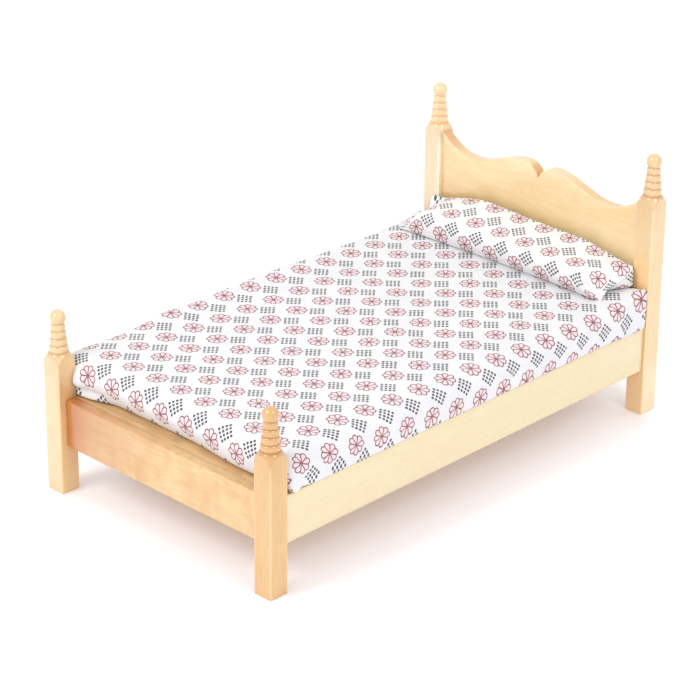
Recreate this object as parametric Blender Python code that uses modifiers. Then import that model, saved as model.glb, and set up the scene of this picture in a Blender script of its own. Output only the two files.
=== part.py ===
"""Miniature single bed with four short turned posts, for a 1:12 dolls' house.

Frame: X to the bed's left and right, +Y towards the headboard, +Z up. The origin is on
the ground, in the middle of the bed's outline. All sizes are in metres.
"""

import math

import bmesh
import bpy
from mathutils import Matrix, Vector

MM = 0.001

# Driving dimensions
BED_LENGTH = 180.0 * MM
BED_WIDTH = 100.5 * MM
GAP = 0.3 * MM

POST_SIDE = 7.1 * MM
POST_EDGE = 0.35 * MM
FOOT_FINIAL_BASE = 47.7 * MM
HEAD_FINIAL_BASE = 77.5 * MM

FINIAL_STEPS = 24
BEAD_COUNT = 4
BEAD_PITCH = 2.4 * MM
BEAD_TOP_RADIUS = 2.35 * MM
BEAD_BASE_RADIUS = 3.1 * MM
BEAD_DEPTH = 0.28 * MM
BALL_RADIUS = 2.6 * MM
BALL_CENTRE = 11.4 * MM
SHOULDER_DROP = 3.4 * MM
SHOULDER_RADIUS = 5.1 * MM

RAIL_BOTTOM = 16.1 * MM
RAIL_TOP = 32.3 * MM
RAIL_THICKNESS = 4.0 * MM
RAIL_EDGE = 0.3 * MM
SIDE_RAIL_INSET = 0.95 * MM
FOOT_RAIL_INSET = 2.6 * MM

HEADBOARD_THICKNESS = 4.0 * MM
HEADBOARD_SHOULDER = 75.6 * MM
SADDLE = (29.5 * MM, 69.15 * MM)
HUMP = (6.3 * MM, 74.85 * MM)
NOTCH = 70.5 * MM

BOARD_THICKNESS = 2.0 * MM
LEDGE_WIDTH = 3.0 * MM
LEDGE_HEIGHT = 4.0 * MM

DOWEL_DIAMETER = 1.6 * MM
DOWEL_LENGTH = 5.0 * MM
DOWEL_STEPS = 12
RAIL_DOWEL_HEIGHTS = (19.6 * MM, 28.6 * MM)
HEADBOARD_DOWEL_HEIGHTS = (24.0 * MM, 62.0 * MM)

COVER_THICKNESS = 0.4 * MM
COVER_TURN_UNDER = 9.0 * MM
MATTRESS_HALF_WIDTH = 49.3 * MM
MATTRESS_FOOT_GAP = 2.9 * MM
MATTRESS_HEIGHT = 13.2 * MM
MATTRESS_ROUND = 5.0 * MM
HEAD_CLEARANCE = 0.6 * MM
PILLOW_HALF_WIDTH = 44.7 * MM
PILLOW_DEPTH = 18.0 * MM
PILLOW_HEIGHT = 9.7 * MM
PILLOW_ROUND = 3.6 * MM

# Sizes worked out from the driving dimensions
HALF_WIDTH = BED_WIDTH / 2
HALF_LENGTH = BED_LENGTH / 2
POST_X = HALF_WIDTH - POST_SIDE / 2
POST_Y = HALF_LENGTH - POST_SIDE / 2
POST_INNER_X = HALF_WIDTH - POST_SIDE
POST_INNER_Y = HALF_LENGTH - POST_SIDE
SIDE_RAIL_X = HALF_WIDTH - SIDE_RAIL_INSET - RAIL_THICKNESS / 2
SIDE_RAIL_INNER_X = SIDE_RAIL_X - RAIL_THICKNESS / 2
FOOT_RAIL_Y = -HALF_LENGTH + FOOT_RAIL_INSET + RAIL_THICKNESS / 2
FOOT_RAIL_BACK_Y = FOOT_RAIL_Y + RAIL_THICKNESS / 2
HEADBOARD_Y = POST_Y
DOWEL_HOLE_DIAMETER = DOWEL_DIAMETER + 2 * GAP
DOWEL_HOLE_LENGTH = DOWEL_LENGTH + 2 * GAP
MATTRESS_LOW = Vector((
    -MATTRESS_HALF_WIDTH,
    FOOT_RAIL_BACK_Y + MATTRESS_FOOT_GAP,
    RAIL_TOP + GAP,
))
MATTRESS_HIGH = Vector((
    MATTRESS_HALF_WIDTH,
    POST_INNER_Y - HEAD_CLEARANCE,
    MATTRESS_LOW.z + MATTRESS_HEIGHT,
))
PILLOW_LOW = Vector((
    -PILLOW_HALF_WIDTH,
    MATTRESS_HIGH.y - PILLOW_DEPTH,
    MATTRESS_HIGH.z + GAP,
))
PILLOW_HIGH = Vector((
    PILLOW_HALF_WIDTH,
    MATTRESS_HIGH.y,
    PILLOW_LOW.z + PILLOW_HEIGHT,
))

SIDES = (("left", -1), ("right", 1))


def clear_scene():
    for obj in list(bpy.data.objects):
        bpy.data.objects.remove(obj)


def new_collection(name):
    collection = bpy.data.collections.new(name)
    bpy.context.scene.collection.children.link(collection)
    return collection


def new_material(name, color, roughness):
    material = bpy.data.materials.new(name)
    material.use_nodes = True
    shader = material.node_tree.nodes["Principled BSDF"]
    shader.inputs["Base Color"].default_value = (*color, 1)
    shader.inputs["Roughness"].default_value = roughness
    shader.inputs["Metallic"].default_value = 0
    material.diffuse_color = (*color, 1)
    return material


def add_object(name, mesh, collection, material=None):
    obj = bpy.data.objects.new(name, mesh)
    collection.objects.link(obj)
    if material is not None:
        mesh.materials.append(material)
    return obj


def add_part(name, mesh, material):
    obj = add_object(name, mesh, parts, material)
    obj.parent = bed
    return obj


def as_cutter(obj):
    obj.hide_render = True
    obj.display_type = "WIRE"
    return obj


def mesh_from(bm, name):
    mesh = bpy.data.meshes.new(name)
    bm.to_mesh(mesh)
    bm.free()
    return mesh


def box_mesh(name, size, edge=0.0, upright_only=False, segments=2):
    """A box centred on its own origin, with its edges eased."""
    bm = bmesh.new()
    bmesh.ops.create_cube(bm, size=1, matrix=Matrix.Diagonal((*size, 1)))
    if edge:
        edges = bm.edges[:]
        if upright_only:
            edges = [e for e in edges if abs(e.verts[0].co.z - e.verts[1].co.z) > edge]
        bmesh.ops.bevel(
            bm, geom=edges, offset=edge, segments=segments, profile=0.5, affect="EDGES"
        )
    return mesh_from(bm, name)


def cylinder_mesh(name, diameter, length, steps):
    bm = bmesh.new()
    bmesh.ops.create_cone(
        bm,
        cap_ends=True,
        segments=steps,
        radius1=diameter / 2,
        radius2=diameter / 2,
        depth=length,
    )
    mesh = mesh_from(bm, name)
    mesh.shade_smooth()
    mesh.set_sharp_from_angle(angle=math.radians(40))
    return mesh


def boolean(obj, operation, other):
    modifier = obj.modifiers.new(f"{operation.lower()} {other.name}", "BOOLEAN")
    modifier.operation = operation
    modifier.object = other
    modifier.solver = "EXACT"


def post_profile(finial_base):
    """(radius, height) of the turned blank, from the ball's top down to below the ground."""
    points = [(0.0, finial_base + BALL_CENTRE + BALL_RADIUS)]
    neck_height = finial_base + BEAD_COUNT * BEAD_PITCH
    neck_angle = math.asin((BEAD_COUNT * BEAD_PITCH - BALL_CENTRE) / BALL_RADIUS)
    ball_points = 8
    for i in range(1, ball_points + 1):
        angle = math.pi / 2 + (neck_angle - math.pi / 2) * i / ball_points
        points.append((
            BALL_RADIUS * math.cos(angle),
            finial_base + BALL_CENTRE + BALL_RADIUS * math.sin(angle),
        ))
    bead_points = 4
    for bead in range(BEAD_COUNT):
        share = bead / (BEAD_COUNT - 1)
        widest = BEAD_TOP_RADIUS + (BEAD_BASE_RADIUS - BEAD_TOP_RADIUS) * share
        for i in range(1 if bead == 0 else 0, bead_points):
            along = i / bead_points
            points.append((
                widest - BEAD_DEPTH * (1 - math.sin(math.pi * along)),
                neck_height - (bead + along) * BEAD_PITCH,
            ))
    shoulder_points = 4
    for i in range(shoulder_points + 1):
        along = i / shoulder_points
        points.append((
            BEAD_BASE_RADIUS + (SHOULDER_RADIUS - BEAD_BASE_RADIUS) * along,
            finial_base - SHOULDER_DROP * along**1.25,
        ))
    points.append((SHOULDER_RADIUS, -POST_EDGE))
    points.append((0.0, -POST_EDGE))
    return points


def add_turned_blank(name, finial_base):
    """The lathe's outline of a post, which trims the square stick."""
    mesh = bpy.data.meshes.new(name)
    points = [(radius, 0, height) for radius, height in post_profile(finial_base)]
    mesh.from_pydata(points, [(i, i + 1) for i in range(len(points) - 1)], [])
    obj = as_cutter(add_object(name, mesh, cutters))
    screw = obj.modifiers.new("turn", "SCREW")
    screw.axis = "Z"
    screw.angle = 2 * math.pi
    screw.steps = FINIAL_STEPS
    screw.render_steps = FINIAL_STEPS
    screw.use_merge_vertices = True
    screw.merge_threshold = 0.00001
    return obj


def add_post(name, x_side, y_side, finial_base):
    """A square stick whose top is turned to a shoulder, four beads and a ball."""
    height = finial_base + BALL_CENTRE + BALL_RADIUS + POST_EDGE
    mesh = box_mesh(name, (POST_SIDE, POST_SIDE, height), POST_EDGE, upright_only=True)
    mesh.transform(Matrix.Translation((0, 0, height / 2)))
    post = add_part(name, mesh, lacquered_wood)
    post.location = (x_side * POST_X, y_side * POST_Y, 0)
    blank = add_turned_blank(f"{name}_blank", finial_base)
    blank.location = post.location
    boolean(post, "INTERSECT", blank)
    return post


def add_box(name, low, high, material, edge=0.0):
    low = Vector(low)
    high = Vector(high)
    obj = add_part(name, box_mesh(name, high - low, edge), material)
    obj.location = (low + high) / 2
    return obj


def add_headboard():
    """The shaped panel: one half of its outline is drawn, and the other half mirrors it."""
    half_width = POST_INNER_X - GAP
    curve = bpy.data.curves.new("headboard_outline", "CURVE")
    curve.dimensions = "2D"
    curve.fill_mode = "BOTH"
    curve.extrude = HEADBOARD_THICKNESS / 2
    curve.resolution_u = 8
    right = [
        # point, handle on the outer side, handle on the inner side
        ((0, NOTCH), (1.0 * MM, NOTCH + 2.1 * MM), None),
        (HUMP, (HUMP[0] + 8.2 * MM, HUMP[1]), (HUMP[0] - 3.4 * MM, HUMP[1])),
        (SADDLE, (SADDLE[0] + 6.0 * MM, SADDLE[1]), (SADDLE[0] - 8.0 * MM, SADDLE[1])),
        (
            (half_width, HEADBOARD_SHOULDER),
            None,
            (half_width - 4.0 * MM, HEADBOARD_SHOULDER - 3.7 * MM),
        ),
    ]
    corner = ((half_width, RAIL_BOTTOM), None, None)

    def flip(point):
        return None if point is None else (-point[0], point[1])

    outline = [(flip(p), flip(outer), flip(inner)) for p, outer, inner in right[:0:-1]]
    notch, notch_outer, _ = right[0]
    outline.append((notch, flip(notch_outer), notch_outer))
    outline += [(p, inner, outer) for p, outer, inner in right[1:]]
    outline += [corner, (flip(corner[0]), None, None)]

    spline = curve.splines.new("BEZIER")
    spline.bezier_points.add(len(outline) - 1)
    spline.use_cyclic_u = True
    for bezier, (point, before, after) in zip(spline.bezier_points, outline):
        bezier.co = (*point, 0)
        bezier.handle_left_type = "FREE" if before else "VECTOR"
        bezier.handle_right_type = "FREE" if after else "VECTOR"
        if before:
            bezier.handle_left = (*before, 0)
        if after:
            bezier.handle_right = (*after, 0)

    drawn = bpy.data.objects.new("headboard_outline", curve)
    cutters.objects.link(drawn)
    drawn.matrix_world = Matrix.Translation((0, HEADBOARD_Y, 0)) @ Matrix.Rotation(
        math.pi / 2, 4, "X"
    )
    bpy.context.view_layer.update()
    graph = bpy.context.evaluated_depsgraph_get()
    mesh = bpy.data.meshes.new_from_object(drawn.evaluated_get(graph))
    bm = bmesh.new()
    bm.from_mesh(mesh)
    bmesh.ops.remove_doubles(bm, verts=bm.verts[:], dist=0.00001)
    bmesh.ops.recalc_face_normals(bm, faces=bm.faces[:])
    bm.to_mesh(mesh)
    bm.free()
    board = add_part("headboard", mesh, lacquered_wood)
    board.matrix_world = drawn.matrix_world
    bpy.data.objects.remove(drawn)
    return board


def add_dowel(name, centre, axis, joined):
    """A dowel between two pieces, and the hole that it needs in both."""
    turn = Vector(axis).to_track_quat("Z", "Y")
    dowel = add_part(
        name,
        cylinder_mesh(name, DOWEL_DIAMETER, DOWEL_LENGTH, DOWEL_STEPS),
        plain_wood,
    )
    hole = as_cutter(
        add_object(
            f"{name}_hole",
            cylinder_mesh(f"{name}_hole", DOWEL_HOLE_DIAMETER, DOWEL_HOLE_LENGTH, DOWEL_STEPS),
            cutters,
        )
    )
    for obj in (dowel, hole):
        obj.location = centre
        obj.rotation_mode = "QUATERNION"
        obj.rotation_quaternion = turn
    for piece in joined:
        boolean(piece, "DIFFERENCE", hole)


def add_filling(name, low, high, rounding, material):
    obj = add_part(
        name,
        box_mesh(name, high - low, rounding, segments=3),
        material,
    )
    obj.location = (low + high) / 2
    return obj


def add_cover(name, low, high, rounding, turn_under):
    """Cloth wrapped over a pad and turned under it, open in the middle underneath."""
    size = high - low
    bm = bmesh.new()
    bmesh.ops.create_cube(bm, size=1, matrix=Matrix.Diagonal((*size, 1)))
    bmesh.ops.bevel(
        bm, geom=bm.edges[:], offset=rounding, segments=3, profile=0.5, affect="EDGES"
    )
    under = min(bm.faces, key=lambda face: face.calc_center_median().z)
    bmesh.ops.inset_region(bm, faces=[under], thickness=turn_under)
    under = min(
        (f for f in bm.faces if len(f.verts) == 4),
        key=lambda face: (round(face.calc_center_median().z, 6), face.calc_center_median().xy.length),
    )
    bmesh.ops.delete(bm, geom=[under], context="FACES_ONLY")
    obj = add_part(name, mesh_from(bm, name), printed_cotton)
    obj.location = (low + high) / 2
    solidify = obj.modifiers.new("cloth", "SOLIDIFY")
    solidify.thickness = COVER_THICKNESS
    solidify.offset = -1
    solidify.use_even_offset = True
    return obj


def add_pad(name, cover_name, low, high, rounding, turn_under, filling_material):
    """A filling inside its cover, with a gap between the two."""
    inner = COVER_THICKNESS + GAP
    step = Vector((inner, inner, inner))
    add_cover(cover_name, low, high, rounding, turn_under)
    return add_filling(name, low + step, high - step, rounding - inner, filling_material)


clear_scene()
parts = new_collection("miniature_bed")
cutters = new_collection("cutters")
bed = bpy.data.objects.new("bed", None)
parts.objects.link(bed)

lacquered_wood = new_material("lacquered_wood", (0.83, 0.60, 0.31), 0.25)
plain_wood = new_material("plain_wood", (0.74, 0.56, 0.34), 0.7)
thin_board = new_material("thin_board", (0.66, 0.52, 0.33), 0.6)
printed_cotton = new_material("printed_cotton", (0.86, 0.86, 0.89), 0.9)
foam = new_material("foam", (0.85, 0.82, 0.68), 0.95)
wadding = new_material("wadding", (0.93, 0.93, 0.92), 0.95)

# The four posts
posts = {}
for side, x_side in SIDES:
    posts["foot", side] = add_post(f"foot_post_{side}", x_side, -1, FOOT_FINIAL_BASE)
    posts["head", side] = add_post(f"head_post_{side}", x_side, 1, HEAD_FINIAL_BASE)

# The rails and the headboard between them
foot_rail = add_box(
    "foot_rail",
    (-POST_INNER_X + GAP, FOOT_RAIL_Y - RAIL_THICKNESS / 2, RAIL_BOTTOM),
    (POST_INNER_X - GAP, FOOT_RAIL_Y + RAIL_THICKNESS / 2, RAIL_TOP),
    lacquered_wood,
    RAIL_EDGE,
)
side_rails = {}
for side, x_side in SIDES:
    x = x_side * SIDE_RAIL_X
    side_rails[side] = add_box(
        f"side_rail_{side}",
        (x - RAIL_THICKNESS / 2, -POST_INNER_Y + GAP, RAIL_BOTTOM),
        (x + RAIL_THICKNESS / 2, POST_INNER_Y - GAP, RAIL_TOP),
        lacquered_wood,
        RAIL_EDGE,
    )
headboard = add_headboard()

# The board that carries the mattress, and the ledges glued inside the side rails
add_box(
    "base_board",
    (-SIDE_RAIL_INNER_X + GAP, -POST_INNER_Y + GAP, RAIL_TOP - BOARD_THICKNESS),
    (SIDE_RAIL_INNER_X - GAP, POST_INNER_Y - GAP, RAIL_TOP),
    thin_board,
)
ledge_top = RAIL_TOP - BOARD_THICKNESS - GAP
ledge_half_length = POST_INNER_Y - POST_SIDE
for side, x_side in SIDES:
    outer = x_side * (SIDE_RAIL_INNER_X - GAP)
    inner = outer - x_side * LEDGE_WIDTH
    add_box(
        f"ledge_{side}",
        (min(outer, inner), -ledge_half_length, ledge_top - LEDGE_HEIGHT),
        (max(outer, inner), ledge_half_length, ledge_top),
        plain_wood,
    )

# The dowels, two at each joint
for number, height in enumerate(RAIL_DOWEL_HEIGHTS, 1):
    for side, x_side in SIDES:
        for end, y_side in (("foot", -1), ("head", 1)):
            add_dowel(
                f"dowel_side_{end}_{side}_{number}",
                (x_side * SIDE_RAIL_X, y_side * (POST_INNER_Y - GAP / 2), height),
                (0, 1, 0),
                (posts[end, side], side_rails[side]),
            )
        add_dowel(
            f"dowel_foot_rail_{side}_{number}",
            (x_side * (POST_INNER_X - GAP / 2), FOOT_RAIL_Y, height),
            (1, 0, 0),
            (posts["foot", side], foot_rail),
        )
for number, height in enumerate(HEADBOARD_DOWEL_HEIGHTS, 1):
    for side, x_side in SIDES:
        add_dowel(
            f"dowel_headboard_{side}_{number}",
            (x_side * (POST_INNER_X - GAP / 2), HEADBOARD_Y, height),
            (1, 0, 0),
            (posts["head", side], headboard),
        )

# The bedding
add_pad(
    "mattress_core",
    "mattress_cover",
    MATTRESS_LOW,
    MATTRESS_HIGH,
    MATTRESS_ROUND,
    COVER_TURN_UNDER,
    foam,
)
add_pad(
    "pillow_filling",
    "pillow_case",
    PILLOW_LOW,
    PILLOW_HIGH,
    PILLOW_ROUND,
    PILLOW_ROUND,
    wadding,
)
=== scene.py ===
"""Looks of the miniature single bed: lacquered wood, printed cotton bedding, studio and camera.

Frame: +X to the bed's right, +Y towards the headboard, +Z up. Shapes are worked out in
millimetres and turned into metres when a mesh is made.
"""

import math

import bmesh
import bpy
import numpy as np
from mathutils import Matrix, Vector, noise


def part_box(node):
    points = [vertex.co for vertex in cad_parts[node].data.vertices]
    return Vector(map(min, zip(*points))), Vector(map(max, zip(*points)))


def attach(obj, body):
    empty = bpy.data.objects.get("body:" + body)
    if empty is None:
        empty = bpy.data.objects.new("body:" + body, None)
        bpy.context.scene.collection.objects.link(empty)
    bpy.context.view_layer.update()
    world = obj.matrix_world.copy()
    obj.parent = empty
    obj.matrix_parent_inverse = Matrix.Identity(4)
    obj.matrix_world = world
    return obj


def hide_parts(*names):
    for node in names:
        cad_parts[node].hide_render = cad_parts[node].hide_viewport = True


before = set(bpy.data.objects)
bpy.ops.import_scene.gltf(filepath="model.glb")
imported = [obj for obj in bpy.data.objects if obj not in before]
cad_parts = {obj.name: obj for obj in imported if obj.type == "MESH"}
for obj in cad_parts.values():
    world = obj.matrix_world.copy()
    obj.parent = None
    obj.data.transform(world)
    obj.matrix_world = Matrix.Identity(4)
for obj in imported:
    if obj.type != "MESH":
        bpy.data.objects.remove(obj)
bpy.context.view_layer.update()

MM = 0.001
POST_NAMES = ("foot_post_left", "foot_post_right", "head_post_left", "head_post_right")


def box_mm(node):
    """Lowest and highest corners of a CAD node, in millimetres."""
    low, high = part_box(node)
    return np.array(low) / MM, np.array(high) / MM


# ---------------------------------------------------------------- node helpers


class Nodes:
    """Short ways to add and join shader nodes. An input is a number, a tuple or a socket."""

    def __init__(self, name):
        self.material = bpy.data.materials.new(name)
        self.material.use_nodes = True
        self.tree = self.material.node_tree
        self.shader = self.tree.nodes["Principled BSDF"]

    def put(self, socket, value):
        if isinstance(value, bpy.types.NodeSocket):
            self.tree.links.new(value, socket)
        elif socket.type == "RGBA" and len(value) == 3:
            socket.default_value = (*value, 1)
        else:
            socket.default_value = value

    def add(self, kind, inputs=(), output=0, **settings):
        node = self.tree.nodes.new(kind)
        for key, value in settings.items():
            setattr(node, key, value)
        items = inputs.items() if isinstance(inputs, dict) else enumerate(inputs)
        for key, value in items:
            if value is not None:
                self.put(node.inputs[key], value)
        return node.outputs[output]

    def math(self, operation, *values):
        return self.add("ShaderNodeMath", values, operation=operation)

    def vector(self, operation, *values):
        return self.add("ShaderNodeVectorMath", values, operation=operation)

    def length(self, value):
        return self.add("ShaderNodeVectorMath", (value,), "Value", operation="LENGTH")

    def parts(self, vector):
        """The X, Y and Z of a vector."""
        return tuple(self.add("ShaderNodeSeparateXYZ", (vector,)).node.outputs)

    def noise(self, vector, scale, detail=2.0, roughness=0.5, distortion=0.0):
        inputs = {
            "Vector": vector,
            "Scale": scale,
            "Detail": detail,
            "Roughness": roughness,
            "Distortion": distortion,
        }
        return self.add("ShaderNodeTexNoise", inputs, "Fac")

    def step(self, value, start, end):
        """0 up to start, 1 from end, smooth between them. Start may be the larger."""
        inputs = {"Value": value, "From Min": start, "From Max": end}
        if start > end:
            inputs |= {"From Min": end, "From Max": start, "To Min": 1.0, "To Max": 0.0}
        return self.add("ShaderNodeMapRange", inputs, interpolation_type="SMOOTHSTEP")

    def range(self, value, low, high, to_low, to_high):
        """Carries low..high over to to_low..to_high, in a straight line and clamped."""
        inputs = {"Value": value, "From Min": low, "From Max": high}
        inputs |= {"To Min": to_low, "To Max": to_high}
        return self.add("ShaderNodeMapRange", inputs)

    def mix(self, share, first, second):
        """A mix of two colours, with a share of 0 to 1 of the second."""
        node = self.tree.nodes.new("ShaderNodeMix")
        node.data_type = "RGBA"
        node.clamp_factor = True
        # the factor and the two colours, among inputs that share their names
        for number, value in zip((0, 6, 7), (share, first, second)):
            self.put(node.inputs[number], value)
        return node.outputs[2]

    def attribute(self, name):
        settings = {"attribute_name": name, "attribute_type": "GEOMETRY"}
        return self.add("ShaderNodeAttribute", (), "Fac", **settings)

    def bump(self, height, distance, strength=1.0):
        inputs = {"Height": height, "Distance": distance, "Strength": strength}
        return self.add("ShaderNodeBump", inputs, "Normal")

    def finish(self, **inputs):
        """Fills the shader's inputs, whose names are given with _ for a space."""
        for key, value in inputs.items():
            self.put(self.shader.inputs[key.replace("_", " ")], value)
        return self.material


def linear(red, green, blue):
    """A screen colour from 0 to 255 as a shader colour."""
    found = []
    for value in (red, green, blue):
        share = value / 255
        found.append(share / 12.92 if share <= 0.04045 else ((share + 0.055) / 1.055) ** 2.4)
    return tuple(found)


# ---------------------------------------------------------------- mesh helpers


def mesh_object(name, points, faces, smooth=True):
    """A mesh object from points in millimetres."""
    mesh = bpy.data.meshes.new(name)
    mesh.from_pydata((np.asarray(points) * MM).tolist(), [], faces)
    mesh.update()
    if smooth:
        mesh.shade_smooth()
    obj = bpy.data.objects.new(name, mesh)
    bpy.context.scene.collection.objects.link(obj)
    return obj


def paint(obj, name, values):
    """Stores a number at each point, for a material to read."""
    attribute = obj.data.attributes.new(name, "FLOAT", "POINT")
    attribute.data.foreach_set("value", np.asarray(values, np.float32))


def place(obj, body, material, slot, *nodes):
    """Gives a piece its material, its body, and the CAD nodes it stands for."""
    obj.data.materials.append(material)
    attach(obj, body)
    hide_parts(*nodes)


def smooth_step(value, start, end):
    """0 up to start, 1 from end, smooth between them. Start may be the larger."""
    share = np.clip((np.asarray(value, float) - start) / (end - start), 0, 1)
    return share * share * (3 - 2 * share)


def bell(value, centre, width):
    """1 at the centre, falling to nothing about twice the width away."""
    return np.exp(-(((np.asarray(value, float) - centre) / width) ** 2))


def rough(points, size, seed=0.0):
    """Smooth noise of about -1 to 1 at points, with bumps of about that size."""
    shift = Vector((seed * 3.1, seed * 7.7, seed * 1.3))
    return np.array([noise.noise(Vector(p) / size + shift) for p in points])


# rows of quads over half of a rounded edge, an eighth of a turn
ARC_STEPS = 7


def spread(low, high, rounding, step):
    """Positions along one side of a rounded box, and the length along its surface there."""
    count = max(1, round((high - low - 2 * rounding) / step))
    angles = np.linspace(0, math.pi / 4, ARC_STEPS + 1)
    flat = np.linspace(low + rounding, high - rounding, count + 1)
    places = np.concatenate([
        low + rounding - rounding * np.tan(angles[:0:-1]),
        flat,
        high - rounding + rounding * np.tan(angles[1:]),
    ])
    along = np.concatenate([
        low + rounding - rounding * angles[:0:-1],
        flat,
        high - rounding + rounding * angles[1:],
    ])
    return places, along


def rounded_box(low, high, rounding, step, sharpness=None):
    """Points, quads, and for each corner of each quad its side and its place along the surface.

    sharpness(x, y, z) gives 2 for a round edge and more for a tighter one.
    """
    low, high = np.asarray(low, float), np.asarray(high, float)
    axes = [spread(low[a], high[a], rounding, step) for a in range(3)]
    last = [len(places) - 1 for places, _ in axes]
    index, points, faces, sides, along = {}, [], [], [], []

    def vertex(key):
        if key not in index:
            index[key] = len(points)
            p = np.array([axes[a][0][key[a]] for a in range(3)])
            inner = np.clip(p, low + rounding, high - rounding)
            away = p - inner
            power = 2.0 if sharpness is None else sharpness(*p)
            size = (np.abs(away) ** power).sum() ** (1 / power)
            points.append(inner + away / size * rounding if size > 0 else p)
        return index[key]

    for axis in range(3):
        first, second = (axis + 1) % 3, (axis + 2) % 3
        for end in (0, last[axis]):
            for i in range(last[first]):
                for j in range(last[second]):
                    ring = [(i, j), (i + 1, j), (i + 1, j + 1), (i, j + 1)]
                    if end == 0:
                        ring.reverse()
                    keys = []
                    for m, n in ring:
                        key = [0, 0, 0]
                        key[axis], key[first], key[second] = end, m, n
                        keys.append(tuple(key))
                    faces.append([vertex(k) for k in keys])
                    sides.append((axis, 0 if end == 0 else 1))
                    along.append([[axes[a][1][k[a]] for a in range(3)] for k in keys])
    return np.array(points), faces, sides, np.array(along)


# ---------------------------------------------------------------- wood

# WARM is partly painted bounce light on posts beside the mattress; PALE paints highlights and
# painted light
WARM = linear(255, 206, 140)
PALE = linear(255, 241, 212)
# how much of each channel of the dark colour is left in the deepest one
DEEP_SHARES = (0.80, 0.55, 0.36)
SEED_SHIFT = (17.3, 31.7, 11.9)
RINGS_IN_NOISE = 9
RING_POWER = 1.6
# noise over the wood: scale along the grain and across it, detail, roughness, distortion
RING_NOISE = (0.022, 0.11, 3.0, 0.55, 0.4)
FIBRE_NOISE = (0.10, 2.6, 3.0, 0.6, 0.0)
FINE_NOISE = (0.5, 9.0, 2.0, 0.5, 0.0)
FLECK_NOISE = (0.75, 4.5, 1.0, 0.4, 0.0)
BLOTCH_NOISE = (0.03, 0.085, 3.0, 0.55, 0.6)
WAVE_NOISE = (0.16, 0.05, 2.0, 0.5, 1.2)
# where a fading board is at its left and right shares, and where the painted highlight along its
# top starts and ends
FADE_LEFT, FADE_RIGHT = -10 * MM, 40 * MM
TOP_HIGHLIGHT_START, TOP_HIGHLIGHT_END = 70.5 * MM, 74.5 * MM
# share of the pale colour in that painted highlight
TOP_HIGHLIGHT_SHARE = 0.45
GRAIN_RELIEF = 0.04 * MM
COAT_RELIEF = 0.03 * MM
COAT_ROUGHNESS = 0.17
COAT_IOR = 1.6


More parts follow.
